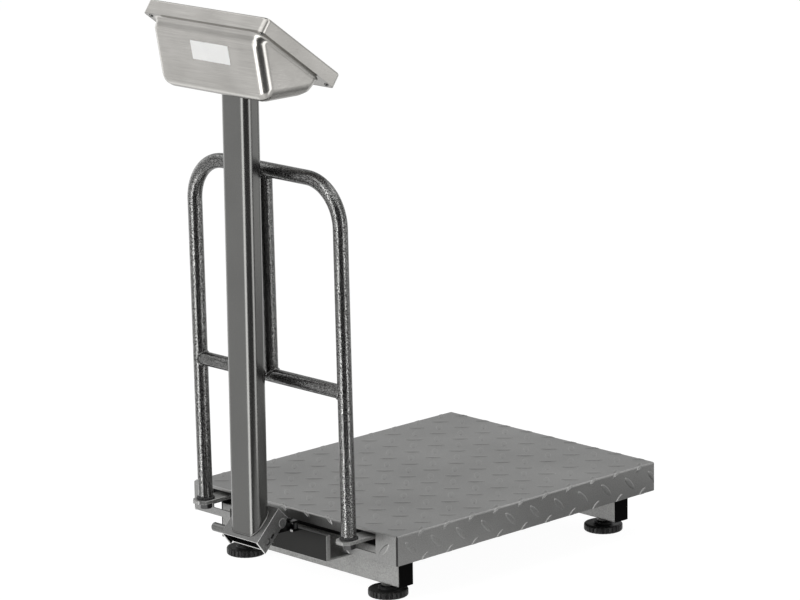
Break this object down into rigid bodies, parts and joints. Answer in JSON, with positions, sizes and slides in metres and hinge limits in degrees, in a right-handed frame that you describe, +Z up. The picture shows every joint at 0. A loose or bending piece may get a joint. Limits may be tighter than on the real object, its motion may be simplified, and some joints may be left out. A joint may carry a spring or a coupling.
{
  "type": "platform weighing scale",
  "caption": "Low platform scale with a tread-plate deck on levelling feet, a tubular guard rail, an upright column and a tilted stainless indicator for weighing goods or animals.",
  "frame": {"origin": "on the floor, under the centre of the overall box", "axes": "+Z up; +Y from the deck towards the column; the indicator faces -Y"},
  "size_m": [0.4, 0.6414, 0.7946],
  "materials": {
    "deck_grey": "grey metallic paint on tread plate",
    "frame_grey": "grey paint",
    "hammered_grey": "dark grey hammered paint",
    "column_grey": "dark grey satin paint",
    "zinc": "plated steel",
    "aluminium": "machined aluminium",
    "stainless": "brushed stainless sheet",
    "black_plastic": "black moulded plastic",
    "key_plastic": "grey moulded keys",
    "display_glass": "dark clear window",
    "board_green": "green circuit board"
  },
  "bodies": {
    "base": {"base_cross_tube_rear": "frame_grey", "base_cross_tube_front": "frame_grey", "base_spine": "frame_grey", "end_plug_rear_left": "black_plastic", "end_plug_rear_right": "black_plastic", "end_plug_front_left": "black_plastic", "end_plug_front_right": "black_plastic", "load_cell": "aluminium", "load_cell_lower_spacer": "zinc", "overload_stop_rear_left": "zinc", "overload_stop_rear_right": "zinc", "overload_stop_front_left": "zinc", "overload_stop_front_right": "zinc", "column_tube": "column_grey", "column_bracket": "column_grey", "column_channel": "column_grey", "hinge_saddle": "column_grey", "hinge_pin": "zinc", "indicator_back_shell": "stainless", "indicator_front_panel": "stainless", "display_window": "display_glass", "display_module": "black_plastic", "circuit_board": "board_green", "battery_pack": "black_plastic"},
    "platform": {"platform_pan": "deck_grey", "load_frame": "frame_grey", "load_cell_upper_spacer": "zinc", "rail_hoop": "hammered_grey", "rail_crossbar": "hammered_grey", "rail_centre_post": "hammered_grey", "rail_lug_left": "hammered_grey", "rail_lug_right": "hammered_grey", "rail_bolt_left": "zinc", "rail_bolt_right": "zinc"},
    "lock": {"lock_pin": "zinc"},
    "stem_rear_left": {"foot_stem_rear_left": "zinc"},
    "stem_rear_right": {"foot_stem_rear_right": "zinc"},
    "stem_front_left": {"foot_stem_front_left": "zinc"},
    "stem_front_right": {"foot_stem_front_right": "zinc"},
    "pad_rear_left": {"foot_pad_rear_left": "black_plastic"},
    "pad_rear_right": {"foot_pad_rear_right": "black_plastic"},
    "pad_front_left": {"foot_pad_front_left": "black_plastic"},
    "pad_front_right": {"foot_pad_front_right": "black_plastic"},
    "key_a": {"key_1": "key_plastic"},
    "key_b": {"key_2": "key_plastic"},
    "key_c": {"key_3": "key_plastic"},
    "key_d": {"key_4": "key_plastic"},
    "key_e": {"key_5": "key_plastic"},
    "key_f": {"key_6": "key_plastic"}
  },
  "joints": [
    {"name": "platform_deflection", "type": "slide", "parent": "base", "child": "platform", "axis": [0, 0, 1], "range_m": [-0.0005, 0], "stiffness_N_per_m": 1600000, "springref_m": 0.0001, "deforming": ["load_cell"]},
    {"name": "lock_pin_pull", "type": "slide", "parent": "base", "child": "lock", "axis": [1, 0, 0], "range_m": [0, 0.065]},
    {"name": "foot_rear_left_height", "type": "slide", "parent": "base", "child": "stem_rear_left", "axis": [0, 0, -1], "range_m": [0, 0.012]},
    {"name": "foot_rear_right_height", "type": "slide", "parent": "base", "child": "stem_rear_right", "axis": [0, 0, -1], "range_m": [0, 0.012]},
    {"name": "foot_front_left_height", "type": "slide", "parent": "base", "child": "stem_front_left", "axis": [0, 0, -1], "range_m": [0, 0.012]},
    {"name": "foot_front_right_height", "type": "slide", "parent": "base", "child": "stem_front_right", "axis": [0, 0, -1], "range_m": [0, 0.012]},
    {"name": "foot_rear_left_turn", "type": "hinge", "parent": "stem_rear_left", "child": "pad_rear_left", "pos_m": [0.14, 0.13827, 0], "axis": [0, 0, -1], "range_deg": [0, 2880]},
    {"name": "foot_rear_right_turn", "type": "hinge", "parent": "stem_rear_right", "child": "pad_rear_right", "pos_m": [-0.14, 0.13827, 0], "axis": [0, 0, -1], "range_deg": [0, 2880]},
    {"name": "foot_front_left_turn", "type": "hinge", "parent": "stem_front_left", "child": "pad_front_left", "pos_m": [0.14, -0.27973, 0], "axis": [0, 0, -1], "range_deg": [0, 2880]},
    {"name": "foot_front_right_turn", "type": "hinge", "parent": "stem_front_right", "child": "pad_front_right", "pos_m": [-0.14, -0.27973, 0], "axis": [0, 0, -1], "range_deg": [0, 2880]},
    {"name": "key_1_press", "type": "slide", "parent": "base", "child": "key_a", "axis": [0, 0.5878, -0.809], "range_m": [0, 0.0006], "stiffness_N_per_m": 3000, "springref_m": -0.0003},
    {"name": "key_2_press", "type": "slide", "parent": "base", "child": "key_b", "axis": [0, 0.5878, -0.809], "range_m": [0, 0.0006], "stiffness_N_per_m": 3000, "springref_m": -0.0003},
    {"name": "key_3_press", "type": "slide", "parent": "base", "child": "key_c", "axis": [0, 0.5878, -0.809], "range_m": [0, 0.0006], "stiffness_N_per_m": 3000, "springref_m": -0.0003},
    {"name": "key_4_press", "type": "slide", "parent": "base", "child": "key_d", "axis": [0, 0.5878, -0.809], "range_m": [0, 0.0006], "stiffness_N_per_m": 3000, "springref_m": -0.0003},
    {"name": "key_5_press", "type": "slide", "parent": "base", "child": "key_e", "axis": [0, 0.5878, -0.809], "range_m": [0, 0.0006], "stiffness_N_per_m": 3000, "springref_m": -0.0003},
    {"name": "key_6_press", "type": "slide", "parent": "base", "child": "key_f", "axis": [0, 0.5878, -0.809], "range_m": [0, 0.0006], "stiffness_N_per_m": 3000, "springref_m": -0.0003}
  ],
  "couplings": [
    {"joint": "foot_rear_left_turn", "follows": "foot_rear_left_height", "rad_per_m": 4188.8},
    {"joint": "foot_rear_right_turn", "follows": "foot_rear_right_height", "rad_per_m": 4188.8},
    {"joint": "foot_front_left_turn", "follows": "foot_front_left_height", "rad_per_m": 4188.8},
    {"joint": "foot_front_right_turn", "follows": "foot_front_right_height", "rad_per_m": 4188.8}
  ]
}
